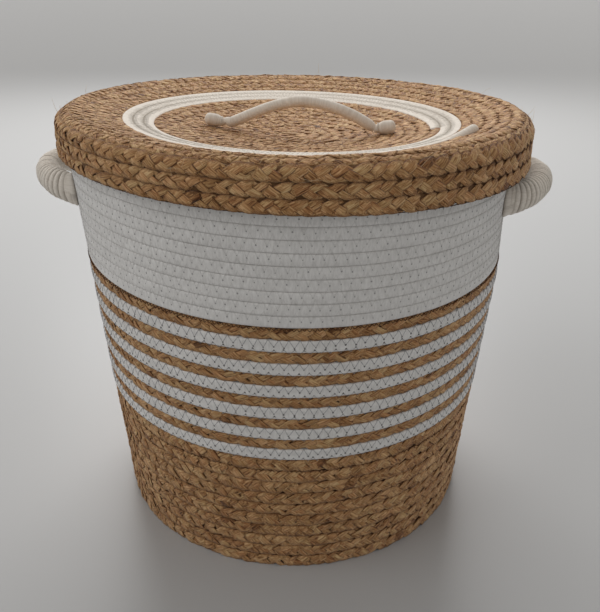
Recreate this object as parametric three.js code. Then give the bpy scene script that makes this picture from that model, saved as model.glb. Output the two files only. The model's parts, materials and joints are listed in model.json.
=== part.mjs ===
// Lidded laundry basket: a tapered round basket of sewn straw and rope courses, under a loose dished lid.
// Millimetres, +Z up. The origin is the centre of the base, on the floor, and +X points at the right handle.

import * as THREE from 'three';

// Basket wall
const BASE_RADIUS = 168;
const RIM_RADIUS = 194;
const WALL_THICKNESS = 8;
const BASE_THICKNESS = 8;
const STRAW_PITCH = 12.1;
const STRAW_COURSES = 10;
const STRIPE_PITCH = 9.95;
const STRIPE_PAIRS = 6;
const ROPE_PITCH = 9.7;
const ROPE_COURSES = 12;
const STRAW_GROOVE = 1.8;
const ROPE_GROOVE = 1.3;

// Clearances
const SEAM_GAP = 0.3;
const LID_CLEARANCE = 0.8;

// Lid
const LID_THICKNESS = 8;
const LID_DISH = 27.5;
const LID_GROOVE = 1.5;
const LID_CENTRE_PITCH = 10.57;
const LID_CENTRE_COURSES = 12;
const LID_OUTER_PITCH = 10.4;
const BAND_PITCH = 8.4;
const BAND_TURNS = 3;
const BAND_GAP = 0.6;
const CROWN_INSET = 1;
const EDGE_DROP = 4;
const SKIRT_THICKNESS = 5.4;
const SKIRT_PITCH = 10.5;
const SKIRT_COURSES = 3;
const SKIRT_ROUND = 7;
const SKIRT_FLARE = 1;

// Side handles
const HANDLE_DROP = 34.6;
const HANDLE_RISE = 12;
const HANDLE_REACH = 40;
const HANDLE_HALF_SPAN = 56;
const HANDLE_RADIUS = 13.8;
const HANDLE_MIDDLE_RADIUS = 9.5;
const WRAP_THICKNESS = 3.6;
const WRAP_LOOPS = 24;
const WRAP_GAP = 0.7;
const ROOT_BLEND = 46;

// Lid handle
const PULL_TURN = THREE.MathUtils.degToRad(-6.6);
const PULL_HALF_SPAN = 67;
const PULL_RISE = 20;
const PULL_RADIUS = 4.5;
const PULL_AXIS_HEIGHT = 5.2;
const PINCH_RADIUS = 3.3;
const FOOT_LENGTH = 9;
const STUB_LENGTH = 18;
const STUB_RADIUS = 5.6;
const STUB_NECK = 9;
const STUB_TIP = 4;
const STUB_TIP_RADIUS = 2.8;
const STITCH_RADIUS = 0.7;
const STITCH_INSET = 1.9;

// Facets
const FACETS = 30;
const WRAP_STEPS = 8;
const WRAP_SIDES = 5;
const BAND_SIDES = 6;
const ROPE_SIDES = 10;
const PATH_STEPS = 16;

// Heights and radii that follow from the sizes above
const STRIPES_BOTTOM = STRAW_PITCH * STRAW_COURSES;
const ROPE_BOTTOM = STRIPES_BOTTOM + 2 * STRIPE_PAIRS * STRIPE_PITCH;
const RIM_HEIGHT = ROPE_BOTTOM + ROPE_PITCH * ROPE_COURSES;
const SEAT_HEIGHT = RIM_HEIGHT + SEAM_GAP;
const CROWN_HEIGHT = SEAT_HEIGHT + LID_THICKNESS;
const SKIRT_INNER = RIM_RADIUS + LID_CLEARANCE;
const SKIRT_OUTER = SKIRT_INNER + SKIRT_THICKNESS;
const CROWN_RADIUS = RIM_RADIUS - WALL_THICKNESS - CROWN_INSET;
// The underside is flat from one course inside the rim outwards.
const SEAT_RADIUS = RIM_RADIUS - WALL_THICKNESS - LID_OUTER_PITCH;
const PLATE_EDGE = SKIRT_INNER - SEAM_GAP;
const SKIRT_TOP = CROWN_HEIGHT - EDGE_DROP;
const SKIRT_HEIGHT = SKIRT_PITCH * SKIRT_COURSES;
// The side handles are sewn on at this height, below the lid's hem.
const HANDLE_HEIGHT = SKIRT_TOP - SKIRT_HEIGHT - HANDLE_DROP;
// The lid's winding starts and ends one facet in front of the right-hand side.
const LID_PHASE = -1;

const STRAW = { color: 0xb98d5c, roughness: 0.85, metalness: 0 };
const ROPE = { color: 0xdfe0e2, roughness: 0.9, metalness: 0 };
const IVORY = { color: 0xe2dccf, roughness: 0.9, metalness: 0 };

const basket = new THREE.Group();
const lid = new THREE.Group();

// Names a solid, gives it its own material and puts it in its group.
function add(group, name, geometry, look) {
  geometry.computeVertexNormals();
  const mesh = new THREE.Mesh(geometry, new THREE.MeshStandardMaterial(look));
  mesh.name = name;
  group.add(mesh);
  return mesh;
}

// Welds equal points, drops triangles that have collapsed, and turns the faces of the closed shape outwards.
function solid(triangles) {
  const index = new Map();
  const positions = [];
  const faces = [];
  const number = (p) => {
    const key = `${p.x.toFixed(4)},${p.y.toFixed(4)},${p.z.toFixed(4)}`;
    if (!index.has(key)) {
      index.set(key, positions.length / 3);
      positions.push(p.x, p.y, p.z);
    }
    return index.get(key);
  };
  const inside = triangles.reduce((sum, [a, b, c]) => sum + a.dot(b.clone().cross(c)), 0) < 0;
  for (const triangle of triangles) {
    const [a, b, c] = triangle.map(number);
    if (a !== b && b !== c && c !== a) faces.push(a, ...(inside ? [c, b] : [b, c]));
  }
  const geometry = new THREE.BufferGeometry();
  geometry.setAttribute('position', new THREE.Float32BufferAttribute(positions, 3));
  geometry.setIndex(faces);
  return geometry;
}

// Two triangles for the four corners of a face, taken in order.
const quad = (a, b, c, d) => [[a, b, c], [a, c, d]];

// The outer radius of the basket wall at a height.
const wallRadius = (z) => BASE_RADIUS + ((RIM_RADIUS - BASE_RADIUS) * z) / RIM_HEIGHT;

// A point at a radius and a height, at a facet's angle.
function around(radius, z, step) {
  const angle = (2 * Math.PI * step) / FACETS;
  return new THREE.Vector3(radius * Math.cos(angle), radius * Math.sin(angle), z);
}

// One unbroken course, wound turn on turn into a closed solid.
// place(t) is how far up or out the near edge of the course lies after t turns. Its far edge is place(t + 1).
// skin(s) and lining(s) give the radius and height of the two faces there. The groove between two courses
// is cut from the skin along the direction inward. A plain lining has no points between its two edges.
function coil({ from, to, phase, place, skin, lining, inward, groove, pitch, plainLining }) {
  const first = Math.round(from * FACETS);
  const last = Math.round(to * FACETS);
  const skinPoint = (s, depth, i) => {
    const [r, z] = skin(s);
    return around(r + depth * inward[0], z + depth * inward[1], i + phase);
  };
  const groovePoint = (i) => skinPoint(place(i / FACETS), groove, i);
  const crestPoint = (i) => {
    const near = place(i / FACETS);
    const far = place(i / FACETS + 1);
    const narrowing = 1 - Math.min(1, (far - near) / pitch);
    return skinPoint((near + far) / 2, groove * narrowing, i);
  };
  const backPoint = (i) => around(...lining(place(i / FACETS)), i + phase);

  const triangles = [];
  for (let i = first; i < last; i += 1) {
    const far = i + FACETS;
    triangles.push(
      ...quad(groovePoint(i), crestPoint(i), crestPoint(i + 1), groovePoint(i + 1)),
      ...quad(crestPoint(i), groovePoint(far), groovePoint(far + 1), crestPoint(i + 1)),
    );
    if (!plainLining) {
      triangles.push(...quad(backPoint(i), backPoint(i + 1), backPoint(far + 1), backPoint(far)));
    }
  }
  for (let i = 0; i < FACETS; i += 1) {
    const near = first + i;
    const far = last + ((near - last) % FACETS + FACETS) % FACETS;
    triangles.push(
      ...quad(groovePoint(near), groovePoint(near + 1), backPoint(near + 1), backPoint(near)),
      ...quad(groovePoint(far + 1), groovePoint(far), backPoint(far), backPoint(far + 1)),
    );
    if (plainLining) {
      triangles.push(...quad(backPoint(near), backPoint(near + 1), backPoint(far + 1), backPoint(far)));
    }
  }
  const startFar = first + FACETS;
  const endFar = last + FACETS;
  triangles.push(
    [groovePoint(startFar), crestPoint(first), groovePoint(first)],
    ...quad(groovePoint(startFar), groovePoint(first), backPoint(first), backPoint(startFar)),
    [groovePoint(last), crestPoint(last), groovePoint(endFar)],
    ...quad(groovePoint(last), groovePoint(endFar), backPoint(endFar), backPoint(last)),
  );
  return solid(triangles);
}

// A course that starts at nothing at one edge, widens, and tapers off again at the other edge.
const between = (low, high, pitch) => (t) => Math.min(high, Math.max(low, low + pitch * (t - 1)));
const turnsFor = (low, high, pitch) => Math.ceil(((high - low) / pitch + 1) * FACETS) / FACETS;

// A closed tube through rings of points, one ring after another, with flat ends.
function tube(rings) {
  const triangles = [];
  const sides = rings[0].length;
  for (let i = 0; i + 1 < rings.length; i += 1) {
    for (let k = 0; k < sides; k += 1) {
      const m = (k + 1) % sides;
      triangles.push(...quad(rings[i][k], rings[i][m], rings[i + 1][m], rings[i + 1][k]));
    }
  }
  const end = rings.at(-1);
  for (let k = 1; k + 1 < sides; k += 1) {
    triangles.push([rings[0][0], rings[0][k + 1], rings[0][k]], [end[0], end[k], end[k + 1]]);
  }
  return solid(triangles);
}

// The least distance between the points of a wound tube and those of its other turns.
function leastGap(rings, stepsPerTurn) {
  let least = Infinity;
  for (let i = 0; i < rings.length; i += 1) {
    for (let j = i + Math.ceil(stepsPerTurn / 2); j < rings.length; j += 1) {
      for (const p of rings[i]) {
        for (const q of rings[j]) least = Math.min(least, p.distanceTo(q));
      }
    }
  }
  return least;
}

// A wall zone: courses that climb from one height to another, between the wall's two faces.
function wallZone(low, high, pitch, groove) {
  const bottom = low === 0 ? 0 : low + SEAM_GAP / 2;
  const top = high === RIM_HEIGHT ? high : high - SEAM_GAP / 2;
  return coil({
    from: 0,
    to: turnsFor(bottom, top, pitch),
    phase: 0,
    place: between(bottom, top, pitch),
    skin: (z) => [wallRadius(z), z],
    lining: (z) => [wallRadius(z) - WALL_THICKNESS, z],
    inward: [-1, 0],
    groove,
    pitch,
    plainLining: true,
  });
}

// One course of its own, closed into a ring, for a stripe.
function stripe(low, groove) {
  const bottom = low + SEAM_GAP / 2;
  const top = low + STRIPE_PITCH - SEAM_GAP / 2;
  const middle = (bottom + top) / 2;
  const section = [
    [wallRadius(bottom) - WALL_THICKNESS, bottom],
    [wallRadius(bottom) - groove, bottom],
    [wallRadius(middle), middle],
    [wallRadius(top) - groove, top],
    [wallRadius(top) - WALL_THICKNESS, top],
  ].map(([r, z]) => new THREE.Vector2(r, z));
  const ring = new THREE.LatheGeometry([...section, section[0].clone()], FACETS);
  ring.rotateX(Math.PI / 2);
  ring.rotateZ(Math.PI / 2);
  const points = ring.getAttribute('position');
  const corner = (i) => new THREE.Vector3().fromBufferAttribute(points, ring.index.getX(i));
  const triangles = [];
  for (let i = 0; i < ring.index.count; i += 3) {
    triangles.push([corner(i), corner(i + 1), corner(i + 2)]);
  }
  return solid(triangles);
}

// Base: a flat straw coil that fills the foot of the wall.
const baseEdge = BASE_RADIUS - WALL_THICKNESS - SEAM_GAP;
add(basket, 'base_coil', coil({
  from: 0,
  to: turnsFor(0, baseEdge, STRAW_PITCH),
  phase: 0,
  place: between(0, baseEdge, STRAW_PITCH),
  skin: (r) => [r, BASE_THICKNESS],
  lining: (r) => [r, 0],
  inward: [0, -1],
  groove: STRAW_GROOVE,
  pitch: STRAW_PITCH,
  plainLining: true,
}), STRAW);

// Wall: straw below, then single courses of straw and rope in turn, then rope up to the rim
add(basket, 'lower_straw_wall', wallZone(0, STRIPES_BOTTOM, STRAW_PITCH, STRAW_GROOVE), STRAW);
for (let pair = 0; pair < STRIPE_PAIRS; pair += 1) {
  const low = STRIPES_BOTTOM + 2 * pair * STRIPE_PITCH;
  add(basket, `white_stripe_${pair + 1}`, stripe(low, ROPE_GROOVE), ROPE);
  add(basket, `straw_stripe_${pair + 1}`, stripe(low + STRIPE_PITCH, STRAW_GROOVE), STRAW);
}
add(basket, 'upper_rope_wall', wallZone(ROPE_BOTTOM, RIM_HEIGHT, ROPE_PITCH, ROPE_GROOVE), ROPE);

// The middle line of a side handle, in plan, from its front root round to its back root.
// Both roots lie flat against the facet of the wall that they meet.
const handleWall = wallRadius(HANDLE_HEIGHT);
const facetAngle = (2 * Math.PI) / FACETS;
const rootFacet = Math.floor(Math.asin(HANDLE_HALF_SPAN / handleWall) / facetAngle);
const rootFacing = (rootFacet + 0.5) * facetAngle;
const facetReach = handleWall * Math.cos(facetAngle / 2);
const rootX = (facetReach - HANDLE_HALF_SPAN * Math.sin(rootFacing)) / Math.cos(rootFacing);
const rootLean = Math.tan(rootFacing);
const wallLean = (RIM_RADIUS - BASE_RADIUS) / RIM_HEIGHT;
const rootStand = SEAM_GAP * Math.hypot(1, rootLean, wallLean);
const handleLine = new THREE.EllipseCurve(
  rootX + rootStand, 0, HANDLE_REACH, HANDLE_HALF_SPAN, -Math.PI / 2, Math.PI / 2,
);
const rootBlend = ROOT_BLEND / handleLine.getLength();

// How far out the handle has come at u, from 0 at its roots to 1 in the middle of the loop.
// It is thickest at the roots and thinnest in the middle.
const handleShare = (u) => (handleLine.getPointAt(u).x - handleLine.aX) / HANDLE_REACH;
const handleRadius = (u) => THREE.MathUtils.lerp(HANDLE_RADIUS, HANDLE_MIDDLE_RADIUS, handleShare(u) ** 2);

// A point of the handle: u runs along it, and angle and radius go round its middle line.
// The loop rises outwards. Towards the roots the section leans over until it lies flat against the wall.
function handlePoint(u, angle, radius) {
  const middle = handleLine.getPointAt(u);
  const along = handleLine.getTangentAt(u);
  const out = radius * Math.cos(angle);
  const up = radius * Math.sin(angle);
  const front = 1 - THREE.MathUtils.smoothstep(u, 0, rootBlend);
  const back = THREE.MathUtils.smoothstep(u, 1 - rootBlend, 1);
  const shift = (back - front) * (rootLean * out - wallLean * up);
  return new THREE.Vector3(
    middle.x + along.y * out + along.x * shift,
    middle.y - along.x * out + along.y * shift,
    HANDLE_HEIGHT + HANDLE_RISE * handleShare(u) + up,
  );
}

// Side handles: a rope core bent into a loop, under a cord wound round it from root to root
const wrapRadius = (u) => handleRadius(u) - WRAP_THICKNESS / 2;
const coreRadius = (u) => wrapRadius(u) * Math.cos(Math.PI / WRAP_STEPS) - WRAP_THICKNESS / 2 - SEAM_GAP;
const coreRings = [];
for (let i = 0; i <= PATH_STEPS; i += 1) {
  const u = i / PATH_STEPS;
  const ring = [];
  for (let k = 0; k < ROPE_SIDES; k += 1) {
    ring.push(handlePoint(u, (2 * Math.PI * k) / ROPE_SIDES, coreRadius(u)));
  }
  coreRings.push(ring);
}

// Half the share of the handle that one turn of the cord covers, less the gap to the turns beside it.
const wrapPitch = 1 / WRAP_LOOPS;
function cordHalfShare(u, angle) {
  const reach = wrapPitch / 2;
  const before = handlePoint(u - reach, angle, wrapRadius(u));
  const after = handlePoint(u + reach, angle, wrapRadius(u));
  return reach * (1 - WRAP_GAP / before.distanceTo(after));
}

const wrapStart = wrapPitch / 2;
const wrapCount = (WRAP_LOOPS - 1) * WRAP_STEPS;
const wrapRings = [];
for (let i = 0; i <= wrapCount; i += 1) {
  const u = wrapStart + ((1 - 2 * wrapStart) * i) / wrapCount;
  const angle = (2 * Math.PI * i) / WRAP_STEPS;
  const half = cordHalfShare(u, angle);
  const ring = [];
  for (let k = 0; k < WRAP_SIDES; k += 1) {
    const turn = (2 * Math.PI * k) / WRAP_SIDES;
    const lift = (WRAP_THICKNESS / 2) * Math.cos(turn);
    const place = u + half * Math.sin(turn);
    ring.push(handlePoint(place, angle, wrapRadius(place) + lift));
  }
  wrapRings.push(ring);
}
console.log('handle wrap least gap', leastGap(wrapRings, WRAP_STEPS).toFixed(2), 'mm');

for (const [side, turn] of [['right', 0], ['left', Math.PI]]) {
  const loop = new THREE.Group();
  loop.rotation.z = turn;
  basket.add(loop);
  add(loop, `${side}_handle_core`, tube(coreRings), IVORY);
  add(loop, `${side}_handle_wrap`, tube(wrapRings), IVORY);
}

// Lid: the top is a dish that rises to its crown just inside the rim, and falls again to the skirt.
function lidTop(r) {
  if (r > CROWN_RADIUS) {
    return CROWN_HEIGHT - EDGE_DROP * ((r - CROWN_RADIUS) / (PLATE_EDGE - CROWN_RADIUS)) ** 2;
  }
  return CROWN_HEIGHT - LID_DISH * (1 - (r / CROWN_RADIUS) ** 2);
}
const lidUnder = (r) => SEAT_HEIGHT - LID_DISH * (1 - Math.min(1, r / SEAT_RADIUS) ** 2);

// How far out the lid's one long winding has come after t turns: straw, then rope, then straw again.
const bandFrom = LID_CENTRE_COURSES;
const bandTo = bandFrom + BAND_TURNS;
const bandInner = LID_CENTRE_PITCH * (LID_CENTRE_COURSES - 1);
const bandOuter = bandInner + BAND_PITCH * (BAND_TURNS + 1);
function winding(t) {
  if (t < bandFrom) return Math.max(0, LID_CENTRE_PITCH * (t - 1));
  if (t < bandTo + 1) return bandInner + BAND_PITCH * (t - bandFrom);
  return Math.min(PLATE_EDGE, bandOuter + LID_OUTER_PITCH * (t - bandTo - 1));
}

function lidCoil(from, to, pitch) {
  return coil({
    from,
    to,
    phase: LID_PHASE,
    place: winding,
    skin: (r) => [r, lidTop(r)],
    lining: (r) => [r, lidUnder(r)],
    inward: [0, -1],
    groove: LID_GROOVE,
    pitch,
  });
}
const outerTurns = turnsFor(bandOuter, PLATE_EDGE, LID_OUTER_PITCH);
add(lid, 'lid_centre_coil', lidCoil(0, bandFrom, LID_CENTRE_PITCH), STRAW);
add(lid, 'lid_outer_coil', lidCoil(bandTo, bandTo + outerTurns, LID_OUTER_PITCH), STRAW);

// White band: one rope laid in three turns between the straw courses, with a cut end at each side.
const bandRings = [];
const bandSteps = BAND_TURNS * FACETS;
for (let i = 0; i <= bandSteps; i += 1) {
  const t = bandFrom + i / FACETS;
  const middle = winding(t) + BAND_PITCH / 2;
  const trim = (FACETS * SEAM_GAP) / (2 * Math.PI * middle);
  const step = i + Number(i === 0) * trim - Number(i === bandSteps) * trim + LID_PHASE;
  const ring = [];
  for (let k = 0; k < BAND_SIDES; k += 1) {
    const turn = (2 * Math.PI * (k + 0.5)) / BAND_SIDES;
    const flat = Math.cos(Math.PI / BAND_SIDES);
    const r = middle + (((BAND_PITCH - BAND_GAP) / 2) * Math.cos(turn)) / flat;
    const thickness = lidTop(middle) - lidUnder(middle);
    ring.push(around(r, lidUnder(middle) + (thickness / 2) * (1 + Math.sin(turn)), step));
  }
  bandRings.push(ring);
}
console.log('lid band least gap', leastGap(bandRings, FACETS).toFixed(2), 'mm');
add(lid, 'lid_white_band', tube(bandRings), IVORY);

// Skirt: the braid goes on down outside the rim, in courses that flare a little.
function skirtRadius(depth) {
  const rounding = Math.max(0, 1 - depth / SKIRT_ROUND) ** 2 * (SKIRT_THICKNESS - LID_GROOVE - SEAM_GAP);
  return SKIRT_OUTER - SKIRT_FLARE * (1 - depth / SKIRT_HEIGHT) - rounding;
}
add(lid, 'lid_skirt', coil({
  from: 0,
  to: turnsFor(0, SKIRT_HEIGHT, SKIRT_PITCH),
  phase: 0,
  place: between(0, SKIRT_HEIGHT, SKIRT_PITCH),
  skin: (depth) => [skirtRadius(depth), SKIRT_TOP - depth],
  lining: (depth) => [SKIRT_INNER, SKIRT_TOP - depth],
  inward: [-1, 0],
  groove: LID_GROOVE,
  pitch: SKIRT_PITCH,
  plainLining: true,
}), STRAW);

// Lid handle: a rope arch that leans over on its two pinches, with a stub of rope past each pinch.
const pull = new THREE.Group();
pull.rotation.z = PULL_TURN;
lid.add(pull);
const pullAxis = lidTop(PULL_HALF_SPAN) + PULL_AXIS_HEIGHT;

// A ring of rope across the handle's length, in a plane of equal x.
function ropeRing(x, z, radius, stretch) {
  const ring = [];
  for (let k = 0; k < ROPE_SIDES; k += 1) {
    const turn = (2 * Math.PI * k) / ROPE_SIDES;
    ring.push(new THREE.Vector3(x, radius * Math.cos(turn), z + radius * stretch * Math.sin(turn)));
  }
  return ring;
}

const archRings = [];
for (let i = 0; i <= PATH_STEPS; i += 1) {
  const x = -(PULL_HALF_SPAN - SEAM_GAP / 2) * Math.cos((Math.PI * i) / PATH_STEPS);
  const share = x / PULL_HALF_SPAN;
  const slope = (2 * PULL_RISE * share) / PULL_HALF_SPAN;
  const foot = THREE.MathUtils.smoothstep(PULL_HALF_SPAN - Math.abs(x), 0, FOOT_LENGTH);
  const radius = THREE.MathUtils.lerp(PINCH_RADIUS, PULL_RADIUS, foot);
  archRings.push(ropeRing(x, pullAxis + PULL_RISE * (1 - share ** 2), radius, Math.hypot(1, slope)));
}
add(pull, 'lid_handle_arch', tube(archRings), IVORY);

// The stub swells out of the pinch, lies on the lid and ends in a rounded cut.
// Both are given at a distance along the stub.
function stubRadius(along) {
  const swell = THREE.MathUtils.smoothstep(along, 0, STUB_NECK);
  const tip = THREE.MathUtils.smoothstep(along, STUB_LENGTH - STUB_TIP, STUB_LENGTH);
  return THREE.MathUtils.lerp(THREE.MathUtils.lerp(PINCH_RADIUS, STUB_RADIUS, swell), STUB_TIP_RADIUS, tip);
}
function stubHeight(along) {
  const lying = lidTop(PULL_HALF_SPAN + along) + STUB_RADIUS + SEAM_GAP;
  return THREE.MathUtils.lerp(pullAxis, lying, THREE.MathUtils.smoothstep(along, 0, STUB_NECK));
}
const stubRings = [];
const stubSteps = PATH_STEPS / 2;
for (let i = 0; i <= stubSteps; i += 1) {
  const along = (STUB_LENGTH * i) / stubSteps;
  const x = PULL_HALF_SPAN + SEAM_GAP / 2 + along;
  stubRings.push(ropeRing(x, stubHeight(along), stubRadius(along), 1));
}

// The stitch is a loop of thick thread over the pinch, with both legs down on the lid.
const stitchX = PULL_HALF_SPAN + STITCH_INSET;
const stitchAlong = STITCH_INSET + STITCH_RADIUS;
const stitchReach = stubRadius(stitchAlong) + SEAM_GAP + STITCH_RADIUS;
const stitchMiddle = stubHeight(stitchAlong);
const stitchFoot = lidTop(stitchX + STITCH_RADIUS) + SEAM_GAP;
function stitchRing(y, z, angle) {
  const ring = [];
  for (let k = 0; k < WRAP_SIDES; k += 1) {
    const turn = (2 * Math.PI * k) / WRAP_SIDES;
    const out = STITCH_RADIUS * Math.cos(turn);
    ring.push(new THREE.Vector3(
      stitchX + STITCH_RADIUS * Math.sin(turn),
      y + out * Math.cos(angle),
      z + out * Math.sin(angle),
    ));
  }
  return ring;
}
const stitchRings = [stitchRing(stitchReach, stitchFoot, 0)];
for (let i = 0; i <= WRAP_STEPS; i += 1) {
  const angle = (Math.PI * i) / WRAP_STEPS;
  stitchRings.push(
    stitchRing(stitchReach * Math.cos(angle), stitchMiddle + stitchReach * Math.sin(angle), angle),
  );
}
stitchRings.push(stitchRing(-stitchReach, stitchFoot, Math.PI));

for (const [side, turn] of [['right', 0], ['left', Math.PI]]) {
  const end = new THREE.Group();
  end.rotation.z = turn;
  pull.add(end);
  add(end, `lid_handle_${side}_stub`, tube(stubRings), IVORY);
  add(end, `lid_handle_${side}_stitch`, tube(stitchRings), IVORY);
}

const product = new THREE.Group();
product.add(basket, lid);

export default product;
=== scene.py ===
"""Looks of a lidded laundry basket: plaited straw, sewn cotton rope and wound cord, laid over the frame.

Metres, +Z up, in the frame of the CAD part. Every course follows the line that the real one is sewn along.
"""

import json
import math
from collections import namedtuple

import bpy
import numpy as np
from mathutils import Matrix, Vector


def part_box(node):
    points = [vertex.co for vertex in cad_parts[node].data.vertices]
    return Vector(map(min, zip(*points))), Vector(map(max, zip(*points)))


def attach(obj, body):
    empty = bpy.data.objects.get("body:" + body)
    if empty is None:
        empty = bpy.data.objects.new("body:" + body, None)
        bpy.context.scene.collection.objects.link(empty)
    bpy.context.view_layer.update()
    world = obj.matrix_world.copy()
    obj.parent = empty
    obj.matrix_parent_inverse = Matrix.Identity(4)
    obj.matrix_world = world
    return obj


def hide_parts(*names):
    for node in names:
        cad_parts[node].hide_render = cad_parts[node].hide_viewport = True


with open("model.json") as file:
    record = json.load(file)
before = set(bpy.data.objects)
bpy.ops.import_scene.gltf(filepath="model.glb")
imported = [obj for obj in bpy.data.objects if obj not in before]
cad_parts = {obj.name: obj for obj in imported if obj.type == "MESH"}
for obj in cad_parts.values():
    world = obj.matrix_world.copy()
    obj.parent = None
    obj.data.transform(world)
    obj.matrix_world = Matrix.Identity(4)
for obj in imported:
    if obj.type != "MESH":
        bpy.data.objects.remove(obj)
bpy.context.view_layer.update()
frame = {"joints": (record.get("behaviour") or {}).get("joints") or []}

MM = 0.001
TURN = 2 * math.pi
TINY = 1e-6
# A step off a surface, which finds the way out from it.
OUTWARD = 5 * MM
SEED = 11
rng = np.random.default_rng(SEED)

# Sizes read from the frame
FIRST_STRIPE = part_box("white_stripe_1")
LAST_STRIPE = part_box("straw_stripe_6")
ROPE_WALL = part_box("upper_rope_wall")
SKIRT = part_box("lid_skirt")
LID_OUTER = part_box("lid_outer_coil")
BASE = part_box("base_coil")
STRIPES_LOW = FIRST_STRIPE[0].z
ROPE_LOW = ROPE_WALL[0].z
RIM_HEIGHT = ROPE_WALL[1].z
CROWN_HEIGHT = LID_OUTER[1].z
PLATE_EDGE = LID_OUTER[1].x
BASE_EDGE = BASE[1].x
BASE_TOP = BASE[1].z
HINGE = next(j for j in frame["joints"] if j["name"] == "lid_handle_lean")

# Courses
LOWER_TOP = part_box("lower_straw_wall")[1].z
LOWER_COURSES = 10
STRAW_PITCH = LOWER_TOP / LOWER_COURSES
STRIPE_PAIRS = 6
STRIPE_PITCH = (ROPE_LOW - STRIPES_LOW) / (2 * STRIPE_PAIRS)
ROPE_COURSES = 12
ROPE_PITCH = (RIM_HEIGHT - ROPE_LOW) / ROPE_COURSES
ROPE_GROOVE = 1.2 * MM
WALL_THICKNESS = 8 * MM
LID_CENTRE_PITCH = 10.57 * MM
LID_CENTRE_COURSES = 12
LID_OUTER_PITCH = 10.4 * MM
LID_DISH = 27.5 * MM
CROWN_RADIUS = 185 * MM
EDGE_DROP = 4 * MM
BAND_PITCH = 8.4 * MM
BAND_TURNS = 3
BAND_INNER = LID_CENTRE_PITCH * (LID_CENTRE_COURSES - 1)
BAND_OUTER = BAND_INNER + BAND_PITCH * (BAND_TURNS + 1)
BAND_THICKNESS = 6 * MM
BAND_GROOVE = 0.45 * MM
BAND_STITCH = 3.4 * MM
SKIRT_PITCH = 10.5 * MM
SKIRT_COURSES = 3
SKIRT_HEIGHT = SKIRT_PITCH * SKIRT_COURSES
SKIRT_ROUND = 7 * MM
SKIRT_ROUND_SHARE = 0.7
SKIRT_THICKNESS = 5.4 * MM
SKIRT_FLARE = 1 * MM

# How the soft basket has settled: lower on the right, up below its handles, and sunk at front and back.
LEAN = 0.022
LEAN_ZONE = (0.12, 0.34)
SETTLE_HEIGHTS = (0, 0.12, 0.24, 0.36)
SIDE_RISE = (0, 3.5 * MM, 5.5 * MM, 0)
FRONT_DROP = (0, 1.3 * MM, 1.3 * MM, 3 * MM)
# The lid follows the rim, with a crown that leans less than its hem.
CROWN_LEAN = 0.008
HEM_LEAN = 0.03
LID_DROP = 2.3 * MM
LID_DROP_MORE_IN_FRONT = 1.3 * MM
LID_DROP_ZONE = (0.114, 0.162)
LID_SAG = 1.6 * MM
LID_SAG_ZONE = (0.075, 0.15)
# The wall is pulled in a little in front of the right handle.
DENT = 6 * MM
DENT_ANGLE = math.radians(-20)
DENT_HALF_ANGLE = math.radians(40)
DENT_HEIGHT = 0.315
DENT_HALF_HEIGHT = 0.1


def smooth(x):
    x = np.clip(x, 0, 1)
    return x * x * (3 - 2 * x)


def rising(x, low, high):
    """From 0 at a low value to 1 at a high one."""
    return smooth((x - low) / (high - low))


def sideways(points):
    """1 at the two sides of the basket, 0 at its front and back."""
    across = points[..., 0] ** 2
    return across / np.maximum(across + points[..., 1] ** 2, TINY**2)


def settle_basket(points):
    """The points of the upright basket, moved to where the soft basket has settled."""
    moved = np.array(points, float)
    height = moved[..., 2].copy()
    side = sideways(moved)
    off_angle = np.abs(np.arctan2(moved[..., 1], moved[..., 0]) - DENT_ANGLE) / DENT_HALF_ANGLE
    off_height = np.abs(height - DENT_HEIGHT) / DENT_HALF_HEIGHT
    pulled = DENT * smooth(1 - off_angle) * smooth(1 - off_height)
    moved[..., :2] *= (1 - pulled / wall_radius(height))[..., None]
    moved[..., 2] -= LEAN * moved[..., 0] * rising(height, *LEAN_ZONE)
    moved[..., 2] += np.interp(height, SETTLE_HEIGHTS, SIDE_RISE) * side
    moved[..., 2] -= np.interp(height, SETTLE_HEIGHTS, FRONT_DROP) * (1 - side)
    return moved


def settle_lid(points):
    """The points of the level lid, moved to where it has settled on the rim."""
    moved = np.array(points, float)
    radius = np.hypot(moved[..., 0], moved[..., 1])
    front = -moved[..., 1] / np.maximum(radius, TINY)
    edge = rising(radius, *LID_DROP_ZONE)
    slope = np.interp(moved[..., 2], (SKIRT[0].z, SKIRT[1].z), (HEM_LEAN, CROWN_LEAN))
    moved[..., 2] -= slope * moved[..., 0]
    moved[..., 2] -= edge * (1 - sideways(moved)) * (LID_DROP + LID_DROP_MORE_IN_FRONT * front)
    moved[..., 2] -= LID_SAG * (1 - rising(radius, *LID_SAG_ZONE))
    return moved


def wander(x, length, wavelength, closed=False):
    """Smooth random values from -1 to 1 along a length."""
    count = max(3, round(length / wavelength))
    knots = rng.uniform(-1, 1, count + 2)
    if closed:
        knots[count] = knots[0]
    place = np.clip(x / length * count, 0, count)
    before = np.floor(place).astype(int)
    share = smooth(place - before)
    return knots[before] * (1 - share) + knots[before + 1] * share


# Surfaces that courses lie on


def polar(radius, angle, z):
    return np.stack([radius * np.cos(angle), radius * np.sin(angle), z + 0 * radius], -1)


FIRST_MIDDLE = (FIRST_STRIPE[0].z + FIRST_STRIPE[1].z) / 2
LAST_MIDDLE = (LAST_STRIPE[0].z + LAST_STRIPE[1].z) / 2
WALL_SLOPE = (LAST_STRIPE[1].x - FIRST_STRIPE[1].x) / (LAST_MIDDLE - FIRST_MIDDLE)


def wall_radius(z):
    return FIRST_STRIPE[1].x + WALL_SLOPE * (z - FIRST_MIDDLE)


def wall_surface(z, angle, height):
    return polar(wall_radius(z) + height, angle, z)


def base_surface(radius, angle, height):
    return polar(radius, angle, BASE_TOP + height)


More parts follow.
